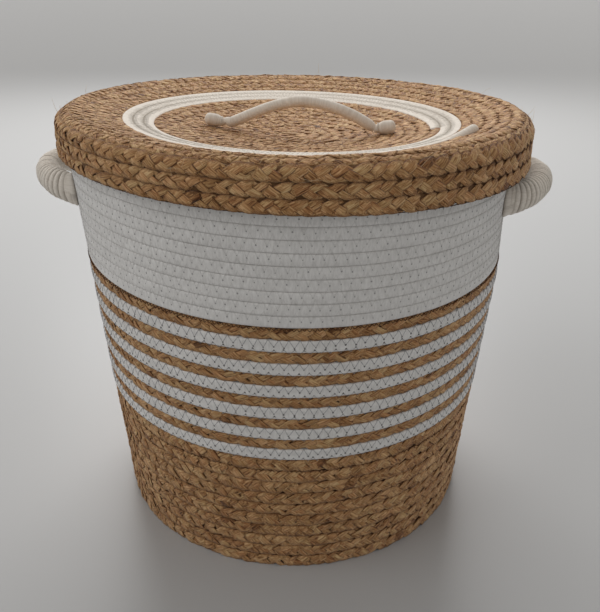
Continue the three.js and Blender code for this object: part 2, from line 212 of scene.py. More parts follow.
def lid_top(radius):
    dish = CROWN_HEIGHT - LID_DISH * (1 - (radius / CROWN_RADIUS) ** 2)
    past = np.maximum(radius - CROWN_RADIUS, 0) / (PLATE_EDGE - CROWN_RADIUS)
    return np.where(radius > CROWN_RADIUS, CROWN_HEIGHT - EDGE_DROP * past**2, dish)


def lid_surface(radius, angle, height):
    return polar(radius, angle, lid_top(radius) + height)


def skirt_radius(depth):
    rounding = np.maximum(0, 1 - depth / SKIRT_ROUND) ** 2 * SKIRT_THICKNESS * SKIRT_ROUND_SHARE
    flare = SKIRT_FLARE * (1 - depth / SKIRT_HEIGHT)
    return SKIRT[1].x - flare - rounding


def skirt_surface(depth, angle, height):
    return polar(skirt_radius(depth) + height, angle, SKIRT[1].z - depth)


# Courses

BACK = math.pi / 2
SETTLED = {"basket": settle_basket, "lid": settle_lid}


class Course:
    """A band laid round and round a surface. edges(turn) tells where its two edges lie by then."""

    STEPS_PER_TURN = 360

    def __init__(self, edges, surface, body, start, end, phase=BACK, closed=False):
        self.edges = edges
        self.surface = surface
        self.body = body
        self.phase = phase
        self.closed = closed
        self.turns = np.linspace(start, end, int((end - start) * self.STEPS_PER_TURN) + 2)
        near, far = edges(self.turns)
        middle = surface((near + far) / 2, 0 * near, 0 * near)
        steps = TURN * np.diff(self.turns) * (middle[1:, 0] + middle[:-1, 0]) / 2
        self.distance = np.concatenate([[0], np.cumsum(steps)])
        self.length = self.distance[-1]

    def turn(self, x):
        if self.closed:
            x = np.mod(x, self.length)
        return np.interp(x, self.distance, self.turns)

    def width(self, x):
        near, far = self.edges(self.turn(x))
        return far - near

    def lying(self, x):
        """Millimetres along, for the material. Round a closed course they run out and back, and so meet."""
        return (np.abs(x - self.length / 2) if self.closed else x) / MM

    def points(self, x, across, height):
        """Points at a distance along the course, from -1 to 1 across it, and out from the surface."""
        turn = self.turn(x)
        near, far = self.edges(turn)
        place = (near + far) / 2 + across * (far - near) / 2
        return SETTLED[self.body](self.surface(place, TURN * turn + self.phase, height))

    def line(self, x, across, height):
        """A line along the course, and the way out from the surface at each of its points."""
        path = self.points(x, across, height)
        return path, (self.points(x, across, height + OUTWARD) - path) / OUTWARD


# A wound course climbs to the next one in this last share of each turn. It is left out while very thin, at
# the start of its first climb and the end of its last.
CLIMB_SHARE = 0.16
CLIMB_LEFT_OUT = CLIMB_SHARE / 6


def wound(low, high, courses, surface, body):
    """A course wound level round a zone. At the back it starts from nothing, and tapers off in the end."""

    def edge(turn):
        whole = np.floor(turn)
        climbed = whole + smooth((turn - whole - 1) / CLIMB_SHARE + 1)
        return np.clip(low + (high - low) / courses * (climbed - 1), low, high)

    start = 1 - CLIMB_SHARE + CLIMB_LEFT_OUT
    end = courses + 1 - CLIMB_LEFT_OUT
    return Course(lambda turn: (edge(turn), edge(turn + 1)), surface, body, start, end)


def level(low, high):
    return lambda turn: (low + 0 * turn, high + 0 * turn)


def wall_ring(low, high):
    """A closed course round the wall."""
    return Course(level(low, high), wall_surface, "basket", 0, 1, closed=True)


def lid_winding(turn):
    """How far out the lid's one long winding has come: straw, then rope, then straw again."""
    centre = np.maximum(0, LID_CENTRE_PITCH * (turn - 1))
    band = BAND_INNER + BAND_PITCH * (turn - LID_CENTRE_COURSES)
    past = turn - LID_CENTRE_COURSES - BAND_TURNS - 1
    rim = np.minimum(PLATE_EDGE, BAND_OUTER + LID_OUTER_PITCH * past)
    return np.where(turn < LID_CENTRE_COURSES, centre, np.where(past < 0, band, rim))


def lid_edges(turn):
    return lid_winding(turn), lid_winding(turn + 1)


# Meshes


def tube_faces(rings, sides, loop):
    index = np.arange(rings * sides).reshape(rings, sides)
    ahead = np.roll(index, -1, 0)
    if not loop:
        index, ahead = index[:-1], ahead[:-1]
    quads = np.stack([index, np.roll(index, -1, 1), np.roll(ahead, -1, 1), ahead], -1)
    return quads.reshape(-1, 4)


def faces_inward(points, quads):
    a, b, c, d = (points[quads[:, k]] for k in range(4))
    volume = np.einsum("ij,ij->i", a, np.cross(b, c)) + np.einsum("ij,ij->i", a, np.cross(c, d))
    return volume.sum() < 0


def make_piece(name, tubes, material, body, nodes=()):
    """One piece of closed tubes, each (points, marks, loop). marks tell the material where a point lies."""
    vertices, marks, faces = [], [], []
    first = 0
    for points, mark, loop in tubes:
        rings, sides = points.shape[:2]
        flat = points.reshape(-1, 3)
        quads = tube_faces(rings, sides, loop)
        ends = [] if loop else [np.arange(sides)[::-1], np.arange(sides) + (rings - 1) * sides]
        if faces_inward(flat, quads):
            quads = quads[:, ::-1]
            ends = [end[::-1] for end in ends]
        vertices.append(flat)
        marks.append(np.broadcast_to(mark, points.shape).reshape(-1, 3))
        faces += (quads + first).tolist()
        faces += [(end + first).tolist() for end in ends]
        first += rings * sides
    mesh = bpy.data.meshes.new(name)
    mesh.from_pydata(np.concatenate(vertices).tolist(), [], faces)
    mesh.polygons.foreach_set("use_smooth", np.ones(len(faces), bool))
    lying = mesh.attributes.new("lying", "FLOAT_VECTOR", "POINT")
    lying.data.foreach_set("vector", np.concatenate(marks).astype(np.float32).ravel())
    mesh.materials.append(material)
    obj = bpy.data.objects.new(name, mesh)
    bpy.context.scene.collection.objects.link(obj)
    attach(obj, body)
    if nodes:
        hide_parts(*nodes)


MIDDLE_TONE = 0.5


def unit(vectors):
    return vectors / np.linalg.norm(vectors, axis=-1, keepdims=True)


def marked(points, along, across, tone=0.0):
    """Marks for the material: millimetres along a piece, from -1 to 1 across it, and a tone."""
    marks = np.zeros(points.shape)
    marks[..., 0] = along
    marks[..., 1] = across
    marks[..., 2] = tone
    return marks


def swept(path, outward, radius, sides, closed=False, flatness=1.0):
    """A round tube along a path, with its marks. outward points away from the surface at each place."""
    along = unit(np.gradient(path, axis=0))
    beside = unit(np.cross(along, outward))
    up = np.cross(beside, along)
    turn = TURN * np.arange(sides) / sides
    circle = np.cos(turn)[:, None] * beside[:, None] + flatness * np.sin(turn)[:, None] * up[:, None]
    points = path[:, None] + np.broadcast_to(radius, len(path))[:, None, None] * circle
    steps = np.linalg.norm(np.diff(path, axis=0), axis=1)
    distance = np.concatenate([[0], np.cumsum(steps)]) / MM
    return points, marked(points, distance[:, None], np.linspace(-1, 1, sides), MIDDLE_TONE), closed


# Plaited straw: three flat strands that run straight from edge to edge of a course, and fold over there

STRANDS = 3
STRAND_WIDTH = 0.66
STRAND_THICKNESS = 0.8 * MM
STRAND_SWAY = 0.47
STRAND_FINE_STEPS = 16
PLAIT_CROWN = 0.15 * MM
WEAVE_SHARPNESS = 2.5
FOLD_SHARPNESS = 0.985
FOLD_FROM = 0.86
FOLD_TO = 1.1
FOLD_DROP = 0.05
# Folds darken with their excess at this rate: dirt and painted shade in the fold.
FOLD_DIRT_AND_SHADE_SLOPE = 2
# How uneven a plait of wildness 1 is, and over what length in metres.
PLAIT_DRIFT = (1, 0.11)
STRAND_DRIFT = (0.45, 0.03)
WIDTH_UNEVEN = (0.24, 0.02)
BEARING_UNEVEN = (0.2, 0.014)
SWAY_UNEVEN = (0.1, 0.02)
RISE_UNEVEN = (0.25 * MM, 0.018)
TILT_UNEVEN = (0.3 * MM, 0.012)
# A few lengths of straw are stained dark. A length has one tone from just before a fold to the next.
STAIN_SHARE = 0.02
STAIN_TONE = -0.6
TONE_SHIFT = 0.125
# Millimetres between the strands in the material, so that they differ.
STRAND_APART = 400
# Where a strand has its rings, as shares of a half period: close together at the fold, which is at 0.5.
CLOSE_RINGS = np.array([0, 0.15, 0.3, 0.42, 0.5, 0.58, 0.7, 0.85])
STRAND_RINGS = np.array([0, 0.22, 0.4, 0.5, 0.6, 0.78])
# Points round a strand: the share of its half width, and of its thickness.
STRAND_SECTION = np.array([(-1, -0.3), (-0.82, 0.45), (0.1, 0.5), (0.82, 0.45), (1, -0.3)])
# A style of plait: the length of a full zigzag in pitches, how uneven it is, how far its strands rise and
# sink, how dark its folds are made by dirt and painted shade, and where its strands have their rings.
Plait = namedtuple("Plait", "length wild weave fold_shade rings")
SKIRT_PLAIT = Plait(3.2, 1.3, 0.7 * MM, 1.0, CLOSE_RINGS)
WALL_PLAIT = Plait(2.1, 2.0, 0.5 * MM, 1.0, STRAND_RINGS)
STRIPE_PLAIT = Plait(3.2, 1.4, 0.5 * MM, 0.8, STRAND_RINGS)
LID_PLAIT = Plait(2.0, 1.6, 0.35 * MM, 0.4, STRAND_RINGS)
BASE_PLAIT = Plait(3.2, 1.0, 0.6 * MM, 1.0, STRAND_RINGS)


def fold_over(across):
    """Strands that reach past the edge of the course fold back there. Returns the place and the excess."""
    excess = np.maximum(np.abs(across) - FOLD_FROM, 0)
    room = FOLD_TO - FOLD_FROM
    kept = FOLD_FROM + room * (1 - np.exp(-excess / room))
    return np.where(excess > 0, np.sign(across) * kept, across), excess


def strand_places(phase, x, course, periods, rings):
    """A column of places along a course where a strand has its rings, one lot to each half period."""
    if course.closed:
        x = np.concatenate([x - course.length, x, x + course.length])
        whole = TURN * periods
        phase = np.concatenate([phase - whole, phase, phase + whole])
        halves = np.ceil(phase[len(phase) // 3] / math.pi) + np.arange(2 * periods)
    else:
        halves = np.arange(np.ceil(phase[0] / math.pi), np.floor(phase[-1] / math.pi))
    wanted = (halves[:, None] + rings).reshape(-1, 1) * math.pi
    return np.interp(wanted, phase, x), wanted


def plait(course, pitch, style):
    """Three strands of a plait of a pitch's width, as tubes."""

    def uneven(place, amount, wavelength):
        return style.wild * amount * wander(place, course.length, wavelength, course.closed)

    periods = course.length / (style.length * pitch)
    if course.closed:
        periods = round(periods)
    count = round(periods * STRAND_FINE_STEPS)
    fine = np.arange(count) * course.length / count
    drift = uneven(fine, *PLAIT_DRIFT)
    sway = STRAND_SWAY * pitch
    sunk = style.weave + STRAND_THICKNESS / 2 + PLAIT_CROWN
    half, lift = STRAND_SECTION.T
    tubes = []
    for strand in range(STRANDS):
        own = uneven(fine, *STRAND_DRIFT)
        phase = TURN * (fine / course.length * periods + strand / STRANDS) + drift + own
        x, phase = strand_places(phase, fine, course, periods, style.rings)
        inside = np.mod(x, course.length)
        swing = FOLD_SHARPNESS * np.sin(phase)
        share = np.arcsin(swing) / math.asin(FOLD_SHARPNESS)
        turning = FOLD_SHARPNESS * np.cos(phase) / np.sqrt(1 - swing**2) / math.asin(FOLD_SHARPNESS)
        width = STRAND_WIDTH * pitch * (1 + uneven(inside, *WIDTH_UNEVEN))
        slant = np.arctan(sway * TURN * periods / course.length * turning)
        bearing = slant + uneven(inside, *BEARING_UNEVEN)
        middle = sway * share * (1 + uneven(inside, *SWAY_UNEVEN))
        over = style.weave * np.tanh(WEAVE_SHARPNESS * np.sin(2 * phase)) + uneven(inside, *RISE_UNEVEN)
        along = x - width / 2 * np.sin(bearing) * half
        across, excess = fold_over((middle + width / 2 * np.cos(bearing) * half) / (pitch / 2))
        height = over + lift * STRAND_THICKNESS + PLAIT_CROWN * (1 - across**2)
        height = height + uneven(inside, *TILT_UNEVEN) * half - excess * pitch * FOLD_DROP - sunk
        fullness = np.sqrt(np.clip(course.width(x) / pitch, 0, 1))
        points = course.points(along, across, height * fullness - sunk * (1 - fullness))
        facet = np.floor(phase / math.pi + TONE_SHIFT).astype(int)
        facet -= facet.min()
        tones = rng.uniform(0, 1, facet.max() + 2)
        tones = np.where(rng.uniform(0, 1, len(tones)) < STAIN_SHARE, STAIN_TONE, tones)
        # The folds get a lower tone: dirt and painted shade where the strand folds over.
        tone = tones[facet] - style.fold_shade * np.clip(FOLD_DIRT_AND_SHADE_SLOPE * excess, 0, 1)
        marks = marked(points, course.lying(along) + STRAND_APART * strand, half, tone)
        tubes.append((points, marks, course.closed))
    return tubes


# The thread of a seam comes and goes between the strands.
SEAM_DEPTH = 0.9 * MM
SEAM_RADIUS = 0.35 * MM
SEAM_HIDDEN = 1.6 * MM
SEAM_WAVELENGTH = 0.06
SEAM_STITCH = 1.7 * MM
SEAM_DIP = 0.4 * MM
THREAD_SIDES = 3


def seam_thread(course):
    """The sewing thread that shows here and there in the groove along the far edge of a course."""
    x = np.arange(0, course.length, SEAM_STITCH)
    sunk = SEAM_DEPTH + SEAM_DIP * np.where(np.arange(len(x)) % 2 == 0, 1, -1)
    sunk = sunk + SEAM_HIDDEN * (1 + wander(x, course.length, SEAM_WAVELENGTH, course.closed)) / 2
    return swept(*course.line(x, 1.0, -sunk), SEAM_RADIUS, THREAD_SIDES, course.closed)


# Sewn rope: flat round courses with a groove between them, held by a zigzag thread

ROPE_ACROSS = np.array([-1, -0.975, -0.92, -0.8, -0.5, 0, 0.5, 0.8, 0.92, 0.975, 1])
ROPE_INSIDE = np.array([-1, -0.93, -0.5, 0.5, 0.93, 1])
ROPE_STEP = 6 * MM
ROPE_FILL = 0.995
FLAT_ROPE = 14
ROUND_ROPE = 10


def rope_height(across, groove, flatness):
    """How far a rope's surface lies below its crest. A flat rope falls away only close to its seams."""
    return -groove * np.abs(across) ** flatness


def rope(course, groove, thickness, flatness=FLAT_ROPE, lift=0.0):
    """A rope course, as a tube with an outer and an inner face. lift raises it off its neighbours."""
    count = round(course.length / ROPE_STEP)
    x = np.arange(count + (0 if course.closed else 1)) * course.length / count
    across = np.concatenate([ROPE_ACROSS, ROPE_INSIDE[::-1]])
    outer = rope_height(ROPE_ACROSS, groove, flatness)
    inner = rope_height(ROPE_INSIDE, groove, flatness)
    height = np.concatenate([outer, -thickness - inner]) + lift
    points = course.points(x[:, None], across * ROPE_FILL, height)
    return points, marked(points, course.lying(x)[:, None], across), course.closed


STITCH_PITCH = 7.4 * MM
STITCH_STEPS = 3
STITCH_JITTER = 0.5 * MM
STITCH_UNEVEN = 0.2


def zigzag(course, up, down, seam, pitch, radius, start=0.0, end=None, spacing=STITCH_PITCH, proud=(0, 0)):
    """A thread that zigzags over the far edge of a course, with its turning points and the ways out there.

    seam is the groove that the thread crosses, and how flat the ropes are beside it. proud is how far the
    courses beyond and before the edge stand out.
    """
    if course.closed:
        count = 2 * round(course.length / spacing)
        x = np.arange(count) * course.length / count
    else:
        x = np.arange(start, course.length if end is None else end, spacing / 2)
    x = x + STITCH_JITTER * rng.uniform(-1, 1, len(x))
    offset = np.where(np.arange(len(x)) % 2 == 0, up, -down)
    offset = offset * (1 + STITCH_UNEVEN * rng.uniform(-1, 1, len(x)))
    if course.closed:
        x = np.append(x, x[0] + course.length)
        offset = np.append(offset, offset[0])
    step = np.arange((len(x) - 1) * STITCH_STEPS + (0 if course.closed else 1)) / STITCH_STEPS
    x = np.interp(step, np.arange(len(x)), x)
    offset = np.interp(step, np.arange(len(offset)), offset)
    from_crest = np.clip(1 - np.abs(offset) / (pitch / 2), 0, 1)
    height = rope_height(from_crest, *seam) + np.where(offset > 0, *proud)
    across = 1 + 2 * offset / np.maximum(course.width(x), TINY)
    path, outward = course.line(x, across, height)
    turning = slice(None, None, STITCH_STEPS)
    return swept(path, outward, radius, THREAD_SIDES, course.closed), path[turning], outward[turning]


MARK_SIDES = 4
MARK_SIZES = (0.6, 1.1)
MARK_TOP = 0.6
MARK_SUNK = 0.25 * MM
MARK_PROUD = 0.2 * MM
# A direction that is never the way out of a wall.
ASKEW = (0.3, 0.2, 0.9)


def needle_hole_shades(paths, radius):
    """Painted shade of the holes where the needle went through: small dark flat four-sided lenses."""
    turn = TURN * np.arange(MARK_SIDES) / MARK_SIDES
    tubes = []
    for path, outward in paths:
        for point, out in zip(path, outward):
            side = unit(np.cross(out, ASKEW))
            circle = np.cos(turn)[:, None] * side + np.sin(turn)[:, None] * np.cross(out, side)
            size = radius * rng.uniform(*MARK_SIZES)
            low = point + circle * size - out * MARK_SUNK
            high = point + circle * MARK_TOP * size + out * MARK_PROUD
            tubes.append((np.array([low, high]), np.zeros(3), False))
    return tubes


# Materials


def new_material(name, roughness, specular):
    material = bpy.data.materials.new(name)
    material.use_nodes = True
    shader = material.node_tree.nodes["Principled BSDF"]
    shader.inputs["Roughness"].default_value = roughness
    shader.inputs["Specular IOR Level"].default_value = specular
    return material, material.node_tree, shader


def add_node(tree, kind, **values):
    node = tree.nodes.new(kind)
    for name, value in values.items():
        setattr(node, name, value)
    return node


def lying_parts(tree):
    """The marks of a piece, as three separate values."""
    marks = add_node(tree, "ShaderNodeAttribute", attribute_name="lying")
    parts = add_node(tree, "ShaderNodeSeparateXYZ")
    tree.links.new(marks.outputs["Vector"], parts.inputs[0])
    return parts.outputs


def math_node(tree, operation, first, second=0):
    node = add_node(tree, "ShaderNodeMath", operation=operation)
    for socket, value in zip(node.inputs, (first, second)):
        if isinstance(value, (int, float)):
            socket.default_value = value
        else:
            tree.links.new(value, socket)
    return node.outputs[0]


def weighted_sum(tree, total, *terms):
    """A number plus values times their weights."""
    for value, weight in terms:
        total = math_node(tree, "ADD", total, math_node(tree, "MULTIPLY", value, weight))
    return total


def stretched_noise(tree, parts, scales, detail=3.0, roughness=0.6):
    """Noise over the marks of a piece, drawn out along it by the three scales."""
    place = add_node(tree, "ShaderNodeCombineXYZ")
    for part, scale, socket in zip(parts, scales, place.inputs):
        tree.links.new(math_node(tree, "MULTIPLY", part, scale), socket)
    noise = add_node(tree, "ShaderNodeTexNoise")
    noise.inputs["Scale"].default_value = 1.0
    noise.inputs["Detail"].default_value = detail
    noise.inputs["Roughness"].default_value = roughness
    tree.links.new(place.outputs[0], noise.inputs["Vector"])
    return noise.outputs["Fac"]


def ramp(tree, value, stops):
    node = add_node(tree, "ShaderNodeValToRGB")
    elements = node.color_ramp.elements
    while len(elements) < len(stops):
        elements.new(0.5)
    for element, (position, colour) in zip(elements, stops):
        element.position = position
        element.color = (*colour, 1)
    tree.links.new(value, node.inputs[0])
    return node.outputs[0]


def multiplied(tree, first, second):
    node = add_node(tree, "ShaderNodeMix", data_type="RGBA", blend_type="MULTIPLY")
    node.inputs["Factor"].default_value = 1.0
    tree.links.new(first, node.inputs["A"])
    tree.links.new(second, node.inputs["B"])
    return node.outputs["Result"]


def bump(tree, shader, height, distance):
    node = add_node(tree, "ShaderNodeBump")
    node.inputs["Strength"].default_value = 1.0
    node.inputs["Distance"].default_value = distance
    tree.links.new(height, node.inputs["Height"])
    tree.links.new(node.outputs[0], shader.inputs["Normal"])


def edges_in_painted_shade(tree, parts, colour, start, end, painted_shade):
    """A colour that darkens to the edges of a strand or cord, between two shares of its half width: painted
    shade in the gaps between strands and between turns of cord, on straw with some of the blades' own darker
    edges.
    """
    from_middle = math_node(tree, "ABSOLUTE", parts[1])
    return multiplied(tree, colour, ramp(tree, from_middle, [(start, (1, 1, 1)), (end, painted_shade)]))


# Scales of noise: along a piece in shares of a millimetre, across it, and from tone to tone.
STRAW_FIBRES = (0.12, 4.5, 19.0)
STRAW_PATCHES = (0.04, 0.6, 7.0)
STRAW_FLECKS = (0.16, 0.9, 11.0)
STRAW_HUES = (0.02, 0.3, 31.0)
STRAW_COLOURS = (
    (0.42, (0.09, 0.035, 0.012)),
    (0.58, (0.305, 0.147, 0.06)),
    (0.74, (0.497, 0.276, 0.122)),
    (0.95, (0.74, 0.502, 0.272)),
)
REDDER_TO_GREENER = ((0.38, (1.0, 0.92, 0.88)), (0.62, (0.97, 1.0, 0.95)))
# Painted shade: between these shares of its half width a strand darkens towards its edge, for the shade in
# the gaps between strands.
STRAW_PAINTED_EDGE = (0.8, 0.95)
STRAW_BUMP = 0.7 * MM


def straw_material(name, painted_shade=1.0, edge=(0.36, 0.25, 0.18), flecks=0.15):
    """Dry straw: streaks along each strand, patches of other hues, a tone for each facet, and edges darkened
    by painted shade, with some of the blades' own darker edges.
    """
    material, tree, shader = new_material(name, roughness=0.7, specular=0.12)
    parts = lying_parts(tree)
    fibres = stretched_noise(tree, parts, STRAW_FIBRES, 4.0, 0.65)
    patches = stretched_noise(tree, parts, STRAW_PATCHES, 2.0)
    flecked = stretched_noise(tree, parts, STRAW_FLECKS, 2.0)
    start = -0.25 - 0.5 * flecks
    mixed = weighted_sum(tree, start, (fibres, 1.4), (patches, 0.4), (parts[2], 0.16), (flecked, flecks))
    # The shade factor dims every colour of the ramp. It is painted shade, used for the dark backing and the
    # lid's dimmed straw.
    stops = [(position, tuple(painted_shade * c for c in colour)) for position, colour in STRAW_COLOURS]
    hue = stretched_noise(tree, parts, STRAW_HUES, 1.0)
    colour = multiplied(tree, ramp(tree, mixed, stops), ramp(tree, hue, REDDER_TO_GREENER))
    tree.links.new(edges_in_painted_shade(tree, parts, colour, *STRAW_PAINTED_EDGE, edge), shader.inputs["Base Color"])
    shader.inputs["Sheen Weight"].default_value = 0.12
    bump(tree, shader, fibres, STRAW_BUMP)
    return material


COTTON_PATCHES = (0.02, 0.4, 3.0)
COTTON_RIPPLES = (0.15, 0.45, 1.0)
# Painted shade: between these shares of its half width a cord darkens to its edges, for the grooves between
# its turns.
COTTON_PAINTED_GROOVE = (0.3, 1.0)
COTTON_BUMP = 0.5 * MM


def cotton_material(name, light, dark, grain, groove=1.0, pucker=0.0):
    """Matt knitted cotton, ribbed across its length.

    grain is how many ribs there are to a millimetre, groove is the painted shade of the cord at its edges,
    where its turns meet in grooves, and pucker is how far the sewing draws it into ripples.
    """
    material, tree, shader = new_material(name, roughness=0.85, specular=0.2)
    parts = lying_parts(tree)
    knit = stretched_noise(tree, parts, (grain, 0.7, 1.0))
    patches = stretched_noise(tree, parts, COTTON_PATCHES)
    mixed = weighted_sum(tree, 0, (knit, 0.65), (patches, 0.35))
    colour = ramp(tree, mixed, [(0.38, dark), (0.6, light)])
    if groove < 1:
        colour = edges_in_painted_shade(tree, parts, colour, *COTTON_PAINTED_GROOVE, (groove, groove, groove))
    tree.links.new(colour, shader.inputs["Base Color"])
    shader.inputs["Sheen Weight"].default_value = 0.15
    if pucker > 0:
        knit = weighted_sum(tree, knit, (stretched_noise(tree, parts, COTTON_RIPPLES, 1.0), pucker))
    bump(tree, shader, knit, COTTON_BUMP)
    return material


THREAD_TWIST = (1.2, 1.0, 1.0)


def thread_material(name, light, dark):
    material, tree, shader = new_material(name, roughness=0.8, specular=0.2)
    twist = stretched_noise(tree, lying_parts(tree), THREAD_TWIST, 2.0)
    tree.links.new(ramp(tree, twist, [(0.35, dark), (0.65, light)]), shader.inputs["Base Color"])
    return material


STRAW = straw_material("straw")
# Painted shade: the lid's straw is dimmed to 0.93, to tone down its lit top. It also has lighter edges, so
# less painted shade between its strands.
LID_STRAW = straw_material("lid_straw", 0.93, (0.68, 0.58, 0.49), 0.9)
# Painted shade: the backing is straw dimmed to 0.35, so that the gaps between courses look dark.
STRAW_BACKING_PAINTED_SHADE = straw_material("straw_backing_painted_shade", 0.35)
WHITE_ROPE = cotton_material("white_rope", (0.835, 0.82, 0.8), (0.695, 0.68, 0.66), 0.6, pucker=2.0)
IVORY_ROPE = cotton_material("ivory_rope", (0.86, 0.79, 0.7), (0.72, 0.64, 0.55), 0.6, pucker=0.8)
# Painted shade: the cord darkens to 0.8 at its edges, for the grooves between its turns.
IVORY_CORD = cotton_material("ivory_cord", (0.86, 0.795, 0.71), (0.72, 0.65, 0.565), 0.7, groove=0.8)
WHITE_THREAD = thread_material("white_thread", (0.72, 0.71, 0.69), (0.62, 0.61, 0.59))
IVORY_THREAD = thread_material("ivory_thread", (0.72, 0.665, 0.59), (0.57, 0.52, 0.45))
# Painted shade: the stripes' thread is white; it is greyed here for the shade where it presses into the rope.
THREAD_GREYED_FOR_SHADE = thread_material("thread_greyed_for_shade", (0.43, 0.43, 0.44), (0.3, 0.3, 0.31))
BROWN_THREAD = thread_material("brown_thread", (0.1, 0.04, 0.018), (0.035, 0.014, 0.007))
PALE_STRAW = thread_material("pale_straw", (0.82, 0.64, 0.42), (0.6, 0.42, 0.24))
# Painted shade: dark lenses for the shade inside the needle holes, near black on the stripes and faint on the
# white wall.
NEEDLE_HOLE_SHADE = thread_material("needle_hole_shade", (0.17, 0.165, 0.16), (0.1, 0.1, 0.1))
FAINT_HOLE_SHADE = thread_material("faint_hole_shade", (0.42, 0.415, 0.41), (0.27, 0.265, 0.26))


def straw_piece(name, course, pitch, style, nodes, seam=True, material=STRAW):
    make_piece(name, plait(course, pitch, style), material, course.body, nodes)
    if seam:
        make_piece(f"{name}_seam", [seam_thread(course)], BROWN_THREAD, course.body)


def wound_straw(name, high, courses, surface, style, body, nodes, seam=True):
    """A zone of plaited straw, as one winding."""
    course = wound(0, high, courses, surface, body)
    straw_piece(name, course, high / courses, style, nodes, seam)


BACKING_SIDES = 96
BACKING_THICKNESS = 0.5 * MM
# The backing's low tone darkens it further: painted shade.
BACKING_MARKS = np.array([0, 0, 0.2])
# How far inside its zone a backing starts.
BACKING_SHORT = 1 * MM


def backing_piece(name, surface, body, high, sunk, steps=12, material=STRAW_BACKING_PAINTED_SHADE):
    """A thin closed layer in the middle of a plaited zone, which the strands are sewn through. Its default
    dark straw is painted shade for the gaps between courses.
    """
    angle = TURN * np.arange(BACKING_SIDES) / BACKING_SIDES
    place = np.linspace(BACKING_SHORT, high, steps)
    place = np.concatenate([place, place[::-1]])
    height = np.repeat([-sunk, -sunk - BACKING_THICKNESS], steps)
    place, angle = np.meshgrid(place, angle)
    points = SETTLED[body](surface(place, angle, np.broadcast_to(height, place.shape)))
    make_piece(name, [(points, BACKING_MARKS, True)], material, body)


# Wall

BACKING_DEPTH = 2.6 * MM
WALL_BACKING_STEPS = 24

wound_straw("lower_wall", LOWER_TOP, LOWER_COURSES, wall_surface, WALL_PLAIT, "basket", ["lower_straw_wall"])
wall_end = ROPE_LOW - BACKING_SHORT
backing_piece("wall_backing", wall_surface, "basket", wall_end, BACKING_DEPTH, WALL_BACKING_STEPS)

BASE_COURSES = round(BASE_EDGE / STRAW_PITCH)
wound_straw("base", BASE_EDGE, BASE_COURSES, base_surface, BASE_PLAIT, "basket", ["base_coil"])
backing_piece("base_backing", base_surface, "basket", BASE_EDGE, BACKING_DEPTH)

WALL_SEAM = (ROPE_GROOVE, FLAT_ROPE)
# How far the white stripes stand out, and how far their threads reach down, up, and over onto the straw.
STRIPE_PROUD = 0.7 * MM
STRIPE_DOWN = 5.2 * MM
STRIPE_UP = 2.6 * MM
STRIPE_OVER = 1.0 * MM
STRIPE_THREAD = 0.26 * MM
STRIPE_MARK = 1.1 * MM
stripe_threads = []
stripe_needle_holes = []
for pair in range(STRIPE_PAIRS):
    low = STRIPES_LOW + 2 * pair * STRIPE_PITCH
    middle = low + STRIPE_PITCH
    white = wall_ring(low, middle)
    straw = wall_ring(middle, middle + STRIPE_PITCH)
    below = wall_ring(low - STRIPE_PITCH, low)
    white_name = f"white_stripe_{pair + 1}"
    straw_name = f"straw_stripe_{pair + 1}"
    white_rope = rope(white, ROPE_GROOVE, WALL_THICKNESS, lift=STRIPE_PROUD)
    make_piece(f"{white_name}_rope", [white_rope], WHITE_ROPE, "basket", [white_name])
    straw_piece(f"{straw_name}_plait", straw, STRIPE_PITCH, STRIPE_PLAIT, [straw_name], seam=False)
    for edge, up, down, proud, first in (
        (white, STRIPE_OVER, STRIPE_DOWN, (0, STRIPE_PROUD), 1),
        (below, STRIPE_UP, STRIPE_OVER, (STRIPE_PROUD, 0), 0),
    ):
        thread, path, outward = zigzag(edge, up, down, WALL_SEAM, STRIPE_PITCH, STRIPE_THREAD, proud=proud)
        stripe_threads.append(thread)
        stripe_needle_holes.append((path[first::2], outward[first::2]))
make_piece("stripe_stitches", stripe_threads, THREAD_GREYED_FOR_SHADE, "basket")

# Small brown stitches below the white wall, and along the front of the topmost seam of the lower wall
TICK_RADIUS = 0.3 * MM
TICK_PITCH = 3.6 * MM
TICK_UP = 0.2 * MM
TICK_DOWN = 1.8 * MM
TICK_PROUD = (0.3 * MM, 0.6 * MM)
FRONT_SEAM = (0.37, 0.68)
FRONT_TICK = 0.8 * MM


def brown_seam(name, course, up, down, pitch, proud=(0, 0)):
    thread, _, _ = zigzag(course, up, down, WALL_SEAM, pitch, TICK_RADIUS, spacing=TICK_PITCH, proud=proud)
    make_piece(name, [thread], BROWN_THREAD, "basket")


brown_seam("top_stripe_seam", straw, TICK_UP, TICK_DOWN, STRIPE_PITCH, TICK_PROUD)
below_top = level(LOWER_TOP - 2 * STRAW_PITCH, LOWER_TOP - STRAW_PITCH)
front = Course(below_top, wall_surface, "basket", *FRONT_SEAM)
brown_seam("lower_wall_front_seam", front, FRONT_TICK, FRONT_TICK, STRAW_PITCH)
# Painted shade in the needle holes of the stripes.
make_piece("stripe_needle_hole_shades", needle_hole_shades(stripe_needle_holes, STRIPE_MARK), NEEDLE_HOLE_SHADE, "basket")

WALL_STITCH = 4.0 * MM
WALL_THREAD = 0.16 * MM
WALL_MARK = 0.9 * MM
rope_wall = wound(ROPE_LOW, RIM_HEIGHT, ROPE_COURSES, wall_surface, "basket")
wall_rope = rope(rope_wall, ROPE_GROOVE, WALL_THICKNESS)
make_piece("upper_wall_rope", [wall_rope], WHITE_ROPE, "basket", ["upper_rope_wall"])
full_from, full_to = np.interp((1, ROPE_COURSES), rope_wall.turns, rope_wall.distance)
wall_thread, wall_path, wall_outward = zigzag(
    rope_wall, WALL_STITCH, WALL_STITCH, WALL_SEAM, ROPE_PITCH, WALL_THREAD, full_from, full_to
)
make_piece("upper_wall_stitches", [wall_thread], WHITE_THREAD, "basket")
